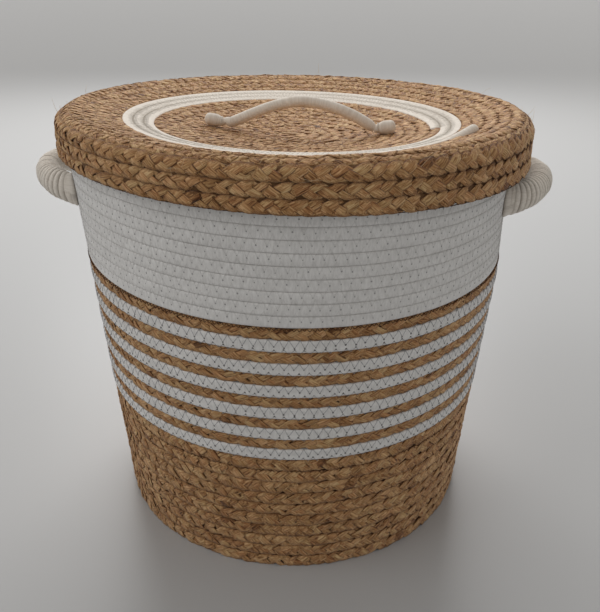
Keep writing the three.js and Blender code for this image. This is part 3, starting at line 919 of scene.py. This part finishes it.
# Painted shade in the needle holes of the white wall.
wall_hole_shades = needle_hole_shades([(wall_path[1::2], wall_outward[1::2])], WALL_MARK)
make_piece("upper_wall_needle_hole_shades", wall_hole_shades, FAINT_HOLE_SHADE, "basket")

# Lid

BAND_START = math.radians(-9.5)
BAND_END_SHORT = 30 / 360
BAND_REACH = 3.9 * MM
BAND_THREAD = 0.2 * MM
LID_START = 0.3
# The straw runs on a little below the start of the band, and starts just past its end.
CENTRE_PAST = 0.012
RIM_PAST = 0.004
# The last course of the lid tapers off, and is left out over this share of a turn.
TAPER = 0.06
LID_BACKING_DEPTH = 0.9 * MM
LID_BACKING_STEPS = 30
SKIRT_BACKING_DEPTH = 1.5 * MM
band_turn = LID_CENTRE_COURSES
outer_start = band_turn + BAND_TURNS
tail_turn = outer_start - BAND_END_SHORT
outer_end = outer_start + (PLATE_EDGE - BAND_OUTER) / LID_OUTER_PITCH + 1


def lid_course(start, end):
    return Course(lid_edges, lid_surface, "lid", start, end, BAND_START)


for name, course, pitch, node in (
    ("lid_centre", lid_course(LID_START, band_turn + CENTRE_PAST), LID_CENTRE_PITCH, "lid_centre_coil"),
    ("lid_rim", lid_course(tail_turn + RIM_PAST, outer_end - TAPER), LID_OUTER_PITCH, "lid_outer_coil"),
):
    straw_piece(name, course, pitch, LID_PLAIT, [node], False, LID_STRAW)
backing_piece("lid_backing", lid_surface, "lid", PLATE_EDGE, LID_BACKING_DEPTH, LID_BACKING_STEPS, LID_STRAW)

# The end of the band turns out over the straw, as a rounder rope with a blunt tip.
TAIL_TURNS = 0.028
TAIL_HIDDEN = 0.01
TAIL_REACH = 15 * MM
TAIL_LIFT = 5 * MM
TAIL_BEND = 1.6
TAIL_RADIUS = 4.7 * MM
TAIL_SIDES = 16
TAIL_RINGS = 24
TAIL_TIP = 0.003
TAIL_BLUNT = 0.97
TIP_RINGS = 7
TIP_FIRST = 0.8


def band_tail():
    """The loose end: a tube that starts inside the end of the band."""
    rope_part = np.linspace(-TAIL_HIDDEN, TAIL_TURNS - TAIL_TIP, TAIL_RINGS)
    tip_part = TAIL_TURNS - TAIL_TIP * np.linspace(TIP_FIRST, 0, TIP_RINGS)
    far = np.concatenate([rope_part, tip_part])
    turn = tail_turn + far
    share = np.clip(far / TAIL_TURNS, 0, 1) ** TAIL_BEND
    middle = sum(lid_edges(turn)) / 2 + TAIL_REACH * share
    height = TAIL_LIFT * share - BAND_THICKNESS / 2
    path = settle_lid(lid_surface(middle, TURN * turn + BAND_START, height))
    above = settle_lid(lid_surface(middle, TURN * turn + BAND_START, height + OUTWARD))
    tip = np.clip((far - TAIL_TURNS) / TAIL_TIP + 1, 0, 1)
    radius = TAIL_RADIUS * np.sqrt(1 - TAIL_BLUNT * tip**2)
    flat = BAND_THICKNESS / 2 / TAIL_RADIUS
    flatness = (flat + (1 - flat) * share)[:, None, None]
    return swept(path, above - path, radius, TAIL_SIDES, flatness=flatness)


band_rope = rope(lid_course(band_turn, tail_turn), BAND_GROOVE, BAND_THICKNESS, ROUND_ROPE)
make_piece("lid_band", [band_rope, band_tail()], IVORY_ROPE, "lid", ["lid_white_band"])
band_style = ((BAND_GROOVE, ROUND_ROPE), BAND_PITCH, BAND_THREAD)
band_seam = lid_course(band_turn, tail_turn - 1)
band_thread, _, _ = zigzag(band_seam, BAND_REACH, BAND_REACH, *band_style, spacing=BAND_STITCH)
make_piece("lid_band_stitches", [band_thread], IVORY_THREAD, "lid")

wound_straw("skirt", SKIRT_HEIGHT, SKIRT_COURSES, skirt_surface, SKIRT_PLAIT, "lid", ["lid_skirt"])
backing_piece("skirt_backing", skirt_surface, "lid", SKIRT_HEIGHT - BACKING_SHORT, SKIRT_BACKING_DEPTH)

# Stray fibres of straw that stand off the edge of the lid

FIBRES = 130
FIBRE_RADIUS = 0.13 * MM
FIBRE_THINS = 0.6
FIBRE_POINTS = 6
FIBRE_ROOT = 0.3 * MM
FIBRE_RISE = 0.3
FIBRE_LENGTHS = (5, 15)
FIBRE_OUT = (0.1, 0.45)
FIBRE_BEND = (-0.6, 0.6)
FIBRE_DROOP = (-0.4, 0.5)
FIBRE_BACK = 0.15
FIBRE_ASKEW = (0.3, 0.5, 0.8)


def stray_fibre(angle, depth):
    """A thin fibre that leaves the skirt at a depth below the crown and bends back towards it."""
    start = skirt_surface(depth, angle, -FIBRE_ROOT)
    outward = np.array([math.cos(angle), math.sin(angle), FIBRE_RISE])
    along = np.array([-math.sin(angle), math.cos(angle), 0])
    down = np.array([0, 0, -1.0])
    way = rng.uniform(-1, 1) * along + rng.uniform(-1, 1) * down + rng.uniform(*FIBRE_OUT) * outward
    bend = rng.uniform(*FIBRE_BEND) * along + rng.uniform(*FIBRE_DROOP) * down - FIBRE_BACK * outward
    share = np.linspace(0, 1, FIBRE_POINTS)[:, None]
    length = rng.uniform(*FIBRE_LENGTHS) * MM
    line = settle_lid(start + length * (way * share + bend * share**2))
    radius = FIBRE_RADIUS * (1 - FIBRE_THINS * share[:, 0])
    return swept(line, np.cross(way, FIBRE_ASKEW), radius, THREAD_SIDES)


stray = [stray_fibre(rng.uniform(0, TURN), SKIRT_PITCH * rng.uniform(0, 1) ** 2) for _ in range(FIBRES)]
make_piece("lid_stray_fibres", stray, PALE_STRAW, "lid")

# Side handles: a rope loop under a thin cord wound round it

# The left loop has been pressed in a little, and its back root has slumped. The right one is drawn out.
Loop = namedtuple("Loop", "reach rise radius turn slack")
LOOPS = {
    "right": Loop(39.5 * MM, 11 * MM, 11.5 * MM, math.radians(-3), 0.0),
    "left": Loop(35 * MM, 9 * MM, 9.5 * MM, math.radians(1.2), 10 * MM),
}
SLUMP_SWELL = 0.45
HANDLE_HALF_SPAN = 56 * MM
HANDLE_RADIUS = 13.8 * MM
HANDLE_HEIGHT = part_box("right_handle_wrap")[0].z + HANDLE_RADIUS
HANDLE_FINE_STEPS = 720
HANDLE_ROOT = math.sqrt(wall_radius(HANDLE_HEIGHT) ** 2 - HANDLE_HALF_SPAN**2)
CORE_RINGS = 41
CORE_UNDER = 0.6 * MM
ROOT_SUNK = 1.5 * MM
ROOT_BLEND = 0.3
ROOT_PLAIN = 0.022
ROOT_GAP = 0.008
ROOT_RINGS = 13
ROOT_ROUND = 1.4 * MM
ROOT_UNDER = 1.1 * MM
ROOT_LAP = 0.4
WRAP_LOOPS = 38
WRAP_PITCH = (1 - 2 * ROOT_PLAIN) / WRAP_LOOPS
WRAP_STEPS = 20
WRAP_THICKNESS = 3 * MM
# How far the cord wobbles and sinks, and over what share of the handle its place, depth and tone change.
WRAP_WOBBLE = 0.1
WRAP_SINKS = 0.35 * MM
WOBBLE_LENGTH = 0.02
SINK_LENGTH = 0.03
TONE_LENGTH = 0.05
# Round the cord: its two narrow sides and its top.
WRAP_EDGE = [(-0.5, -1), (-0.49, 0.15), (-0.38, 0.75)]
WRAP_SECTION = np.array(WRAP_EDGE + [(0, 1)] + [(-x, y) for x, y in reversed(WRAP_EDGE)])


def handle_points(u, angle, sunk, loop):
    """Points round a right-hand handle at shares u of its length. Its roots lean over against the wall."""
    fine = np.linspace(-math.pi / 2, math.pi / 2, HANDLE_FINE_STEPS + 1)
    line = np.stack([loop.reach * np.cos(fine), HANDLE_HALF_SPAN * np.sin(fine)], -1)
    run = np.concatenate([[0], np.cumsum(np.linalg.norm(np.diff(line, axis=0), axis=1))])
    bearing = np.interp(u * run[-1], run, fine)
    share = np.cos(bearing)
    along = unit(np.stack([-loop.reach * np.sin(bearing), HANDLE_HALF_SPAN * share], -1))
    slump = loop.slack * smooth(1 - 2 * u)
    radius = HANDLE_RADIUS + (loop.radius - HANDLE_RADIUS) * share**2 + slump * SLUMP_SWELL - sunk
    out = radius * np.cos(angle)
    up = radius * np.sin(angle)
    near_root = smooth((u - 1 + ROOT_BLEND) / ROOT_BLEND) - (1 - smooth(u / ROOT_BLEND))
    shift = near_root * (HANDLE_HALF_SPAN / HANDLE_ROOT * out - WALL_SLOPE * up)
    x = HANDLE_ROOT - ROOT_SUNK + loop.reach * share + along[..., 1] * out + along[..., 0] * shift
    y = HANDLE_HALF_SPAN * np.sin(bearing) - along[..., 0] * out + along[..., 1] * shift
    return np.stack([x, y, HANDLE_HEIGHT + loop.rise * share - slump + up], -1)


def handle_wrap(loop):
    """The cord, as one long winding."""
    step = np.arange(WRAP_LOOPS * WRAP_STEPS + 1)[:, None]
    start = ROOT_PLAIN + WRAP_PITCH / 2
    u = np.linspace(start, 1 - start, len(step))[:, None]
    wobble = WRAP_WOBBLE * WRAP_PITCH * wander(u, 1.0, WOBBLE_LENGTH)
    side, lift = WRAP_SECTION.T
    sunk = WRAP_SINKS * (1 + wander(u, 1.0, SINK_LENGTH)) + WRAP_THICKNESS / 2 * (1 - lift)
    place = np.clip(u + wobble + WRAP_PITCH * side, 0, 1)
    angle = TURN * step / WRAP_STEPS
    points = handle_points(place, angle, sunk, loop)
    tone = MIDDLE_TONE * (1 + wander(u, 1.0, TONE_LENGTH))
    # The cord's sides are marked out to 1 and -1, where its material paints shade into the grooves between
    # turns.
    return points, marked(points, angle * HANDLE_RADIUS / MM, 2 * side, tone), False


def handle_tube(u, sunk, edge, loop):
    """A smooth stretch of the handle, at a column of shares of its length, sunk below its surface."""
    angle = TURN * np.arange(WRAP_STEPS) / WRAP_STEPS
    points = handle_points(u, angle, sunk, loop)
    return points, marked(points, angle * HANDLE_RADIUS / MM, edge), False


# A wide plain turn at each root is rounded at the wall, and runs on below the first turns of the cord.
near_root = np.linspace(ROOT_GAP, ROOT_PLAIN + WRAP_PITCH, ROOT_RINGS)[:, None]
root_depth = ROOT_ROUND * np.clip((ROOT_PLAIN - near_root) / (ROOT_PLAIN - ROOT_GAP), 0, 1) ** 4
root_depth = root_depth + ROOT_UNDER * smooth((near_root - ROOT_PLAIN) / WRAP_PITCH + ROOT_LAP)
# Painted shade: a root darkens towards the wall, for the shade where it meets the wall.
root_painted_shade = np.linspace(-1, 0, ROOT_RINGS)[:, None]
whole_length = np.linspace(0, 1, CORE_RINGS)[:, None]
SIDES = (("right", 1), ("left", -1))
for side, sign in SIDES:
    loop = LOOPS[side]
    turned = sign * np.array(Matrix.Rotation(loop.turn, 3, "Z"))
    turned[2, 2] = 1
    roots = [handle_tube(share, root_depth, root_painted_shade, loop) for share in (near_root, 1 - near_root)]
    # The core is marked 1: painted shade all over, seen in the grooves between the cord's turns.
    core = handle_tube(whole_length, WRAP_THICKNESS - CORE_UNDER, 1, loop)
    for part, tubes in (("wrap", [handle_wrap(loop), *roots]), ("core", [core])):
        tubes = [(settle_basket(points @ turned.T), marks, closed) for points, marks, closed in tubes]
        node = f"{side}_handle_{part}"
        make_piece(f"{node}_cord", tubes, IVORY_CORD, "basket", [node])

# Lid handle: a rope arch between two pinches, with a stub past each

PULL_HALF_SPAN = 65.5 * MM
PULL_RISE = 20.8 * MM
PULL_RADIUS = 4.6 * MM
PULL_FORWARD = 0.3 * MM
PULL_BOW = 2.6 * MM
PULL_SIDEWAYS = 3.4 * MM
PULL_SIDES = 16
PULL_RINGS = 61
# The left leg droops, most of all near its foot.
PULL_DIP = 11.6 * MM
PULL_DIP_REACH = 68 * MM
PULL_DIP_FOOT = 6 * MM
PULL_DIP_NEAR = 0.45
PULL_DIP_FAR = 1.25
PINCH_RADIUS = 3.3 * MM
FOOT_LENGTH = 5 * MM
STUB_LENGTH = 18 * MM
STUB_RADIUS = 5.6 * MM
STUB_NECK = 9 * MM
STUB_TIP = 4 * MM
STUB_BLUNT = 0.9
STUB_RINGS = 25
# The thread that ties a foot down: over the rope, and a little way below its middle.
TIE_PAST = 2.7 * MM
TIE_CLEAR = 1.1 * MM
TIE_RADIUS = 0.6 * MM
TIE_BELOW = 0.35
TIE_RINGS = 25
TIE_SIDES = 6

pull_height = HINGE["pos_m"][2]
pull_turn = math.atan2(HINGE["axis"][1], HINGE["axis"][0])


def pull_piece(name, path, outward, radius, sides, material, body, node):
    """A part of the handle, made along its own axis and put where it lies on the lid."""
    points, marks, _ = swept(path, outward, radius, sides)
    x = points[..., 0] + PULL_SIDEWAYS
    y = points[..., 1] - PULL_FORWARD
    points[..., 0] = x * math.cos(pull_turn) - y * math.sin(pull_turn)
    points[..., 1] = x * math.sin(pull_turn) + y * math.cos(pull_turn)
    make_piece(name, [(settle_lid(points), marks, False)], material, body, [node])


UPWARD = (0.0, 0.0, 1.0)
ALONG = (1.0, 0.0, 0.0)
rope_style = (PULL_SIDES, IVORY_ROPE)
arch_x = -PULL_HALF_SPAN * np.cos(np.linspace(0, math.pi, PULL_RINGS))
arch_share = 1 - (arch_x / PULL_HALF_SPAN) ** 2
arch_inward = arch_x + PULL_HALF_SPAN
dip_share = np.clip(arch_inward / PULL_DIP_REACH, 0, 1)
dip = PULL_DIP * dip_share**PULL_DIP_NEAR * (1 - dip_share) ** PULL_DIP_FAR
arch_z = pull_height + PULL_RISE * arch_share - dip * smooth(arch_inward / PULL_DIP_FOOT)
arch_foot = smooth((PULL_HALF_SPAN - np.abs(arch_x)) / FOOT_LENGTH)
arch_radius = PINCH_RADIUS + (PULL_RADIUS - PINCH_RADIUS) * arch_foot
arch_path = np.stack([arch_x, -PULL_BOW * arch_share, arch_z], -1)
pull_piece("lid_handle_rope", arch_path, UPWARD, arch_radius, *rope_style, "lid_handle", "lid_handle_arch")

for side, sign in SIDES:
    node = f"lid_handle_{side}"
    reach = np.linspace(0, STUB_LENGTH, STUB_RINGS)
    swell = smooth(reach / STUB_NECK)
    tip = np.clip((reach - STUB_LENGTH + STUB_TIP) / STUB_TIP, 0, 1)
    stub_radius = (PINCH_RADIUS + (STUB_RADIUS - PINCH_RADIUS) * swell) * np.sqrt(1 - STUB_BLUNT * tip**2)
    resting = lid_top(PULL_HALF_SPAN + reach) + STUB_RADIUS
    stub_z = pull_height + (resting - pull_height) * swell
    stub_path = np.stack([sign * (PULL_HALF_SPAN + reach), 0 * reach, stub_z], -1)
    pull_piece(f"{node}_rope_end", stub_path, UPWARD, stub_radius, *rope_style, "lid", f"{node}_stub")
    tie_angle = np.linspace(-TIE_BELOW, math.pi + TIE_BELOW, TIE_RINGS)
    tie_x = sign * (PULL_HALF_SPAN + TIE_PAST) + 0 * tie_angle
    tie_reach = PINCH_RADIUS + TIE_CLEAR
    tie_z = pull_height + tie_reach * np.sin(tie_angle)
    tie_path = np.stack([tie_x, tie_reach * np.cos(tie_angle), tie_z], -1)
    pull_piece(f"{node}_thread", tie_path, ALONG, TIE_RADIUS, TIE_SIDES, IVORY_CORD, "lid", f"{node}_stitch")

# Underside of the floor: the same winding, plaited towards the ground

UNDER_HEIGHT = 1.6 * MM


def under_surface(radius, angle, height):
    return polar(radius, angle, UNDER_HEIGHT - height)


wound_straw("base_underside", BASE_EDGE, BASE_COURSES, under_surface, BASE_PLAIT, "basket", [], seam=False)

# Stage: a pale floor, soft light from above and behind, and the camera

FLOOR_HALF = 75.0
FLOOR_CORNERS = [(-1, -1), (1, -1), (1, 1), (-1, 1)]
FLOOR_COLOUR = (0.46, 0.46, 0.458, 1)
WORLD_COLOUR = (1.0, 0.985, 0.965, 1)
WORLD_LIGHT = 0.38
WORLD_SEEN = 0.95

scene = bpy.context.scene
floor_mesh = bpy.data.meshes.new("floor")
floor_mesh.from_pydata([(FLOOR_HALF * x, FLOOR_HALF * y, 0) for x, y in FLOOR_CORNERS], [], [(0, 1, 2, 3)])
floor = bpy.data.objects.new("floor", floor_mesh)
scene.collection.objects.link(floor)
floor_material, _, floor_shader = new_material("floor", roughness=0.35, specular=0.3)
floor_shader.inputs["Base Color"].default_value = FLOOR_COLOUR
floor_mesh.materials.append(floor_material)

world = bpy.data.worlds.new("soft_room")
scene.world = world
world.use_nodes = True
room = world.node_tree
background = room.nodes["Background"]
background.inputs["Color"].default_value = WORLD_COLOUR
rays = add_node(room, "ShaderNodeLightPath").outputs
seen = math_node(room, "MAXIMUM", rays["Is Camera Ray"], rays["Is Glossy Ray"])
seen = math_node(room, "MAXIMUM", seen, rays["Is Transmission Ray"])
strength = weighted_sum(room, WORLD_LIGHT, (seen, WORLD_SEEN - WORLD_LIGHT))
room.links.new(strength, background.inputs["Strength"])


def area_light(name, place, aim, size, power):
    data = bpy.data.lights.new(name, "AREA")
    data.size = size
    data.energy = power
    light = bpy.data.objects.new(name, data)
    light.location = place
    light.rotation_euler = (Vector(aim) - Vector(place)).to_track_quat("-Z", "Y").to_euler()
    scene.collection.objects.link(light)


area_light("window", (-0.1, 1.9, 1.85), (0, 0, 0.3), 2.0, 48)
area_light("left_fill", (-1.9, -0.6, 2.0), (0, 0, 0.25), 1.6, 12.5)
area_light("right_fill", (2.2, -0.4, 1.4), (0, 0, 0.25), 1.6, 1.5)

CAMERA_PLACE = (0.0, -0.6209, 0.4620)
CAMERA_YAW = 0.00869
CAMERA_PITCH = 0.43978
CAMERA_ROLL = 0.00827
CAMERA_NEAREST = 0.01
PHOTO_HEIGHT = 612
FOCAL_PIXELS = 700
SENSOR = 36.0

camera_data = bpy.data.cameras.new("camera")
camera_data.sensor_width = SENSOR
camera_data.lens = FOCAL_PIXELS * SENSOR / PHOTO_HEIGHT
camera_data.clip_start = CAMERA_NEAREST
camera = bpy.data.objects.new("camera", camera_data)
camera.matrix_world = (
    Matrix.Translation(CAMERA_PLACE)
    @ Matrix.Rotation(-CAMERA_YAW, 4, "Z")
    @ Matrix.Rotation(math.pi / 2 - CAMERA_PITCH, 4, "X")
    @ Matrix.Rotation(CAMERA_ROLL, 4, "Z")
)
scene.collection.objects.link(camera)
scene.camera = camera
scene.view_settings.view_transform = "Standard"
